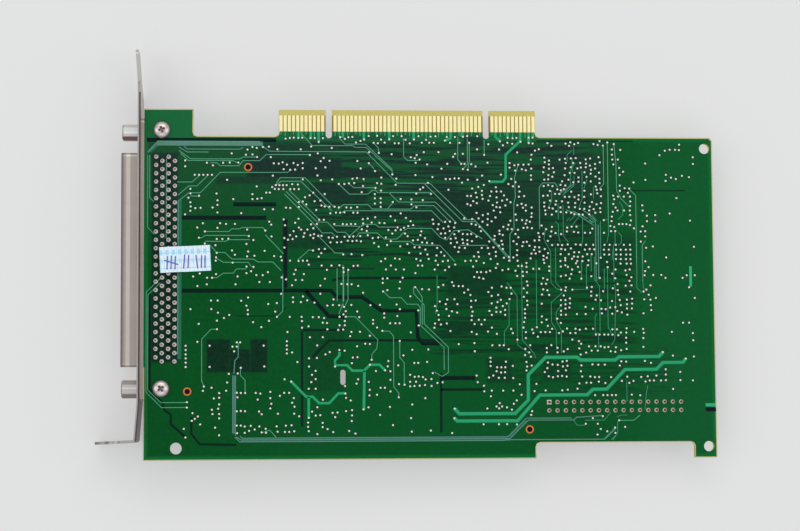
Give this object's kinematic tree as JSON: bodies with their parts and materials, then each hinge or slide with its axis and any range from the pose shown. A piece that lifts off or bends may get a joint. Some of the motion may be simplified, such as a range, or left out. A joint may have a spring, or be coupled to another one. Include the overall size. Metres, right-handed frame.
{
  "type": "data acquisition card",
  "caption": "Short plug-in data acquisition card: printed board with slotted finger edge, folded bracket, right-angle D-shaped connector and ribbon header.",
  "frame": {"origin": "centre of the overall box, on the plane of the bracket's lower edge", "axes": "+X along the board away from the bracket, +Y across the board towards the finger edge, +Z out of the solder side"},
  "size_m": [0.1888, 0.1254, 0.0184],
  "materials": {
    "board": "green solder mask over glass laminate",
    "bracket_steel": "nickel-plated sheet steel",
    "shell_steel": "tin-plated drawn steel",
    "black_plastic": "moulded polyester",
    "header_plastic": "moulded polyester",
    "pin_gold": "gold and tin plated",
    "screw_steel": "nickel-plated steel",
    "chip_moulding": "moulded epoxy with tinned leads",
    "plated_can": "plated drawn can",
    "module_case": "potted plastic case",
    "tantalum_moulding": "moulded resin",
    "ferrite": "ferrite drum",
    "fuse_polymer": "coated polymer",
    "ceramic_tan": "sintered ceramic",
    "ceramic_black": "glazed film on ceramic",
    "label_paper": "printed paper label"
  },
  "bodies": {
    "root": {"circuit_board": "board", "bracket": "bracket_steel", "connector_shell": "shell_steel", "connector_housing": "black_plastic", "tail_spacer": "black_plastic", "header_housing": "header_plastic", "header_pins_inner": "pin_gold", "header_pins_outer": "pin_gold", "paper_label": "label_paper", "contact_column_1": "pin_gold", "contact_column_2": "pin_gold", "contact_column_3": "pin_gold", "contact_column_4": "pin_gold", "jackscrew_upper": "screw_steel", "jackscrew_lower": "screw_steel", "board_screw_upper": "screw_steel", "board_screw_lower": "screw_steel", "bus_interface_chip": "chip_moulding", "timing_controller_chip": "chip_moulding", "digital_port_chip": "chip_moulding", "sample_memories": "chip_moulding", "bus_buffers": "chip_moulding", "analog_to_digital_converter": "chip_moulding", "digital_to_analog_converters": "chip_moulding", "input_multiplexers": "chip_moulding", "instrumentation_amplifier": "chip_moulding", "operational_amplifiers": "chip_moulding", "calibration_converters": "chip_moulding", "voltage_reference": "chip_moulding", "settings_memory": "chip_moulding", "resistor_networks": "chip_moulding", "clock_oscillator": "plated_can", "power_converter": "module_case", "tantalum_capacitors": "tantalum_moulding", "power_inductor": "ferrite", "resettable_fuse": "fuse_polymer", "chip_capacitors": "ceramic_tan", "chip_resistors": "ceramic_black"}
  },
  "joints": []
}
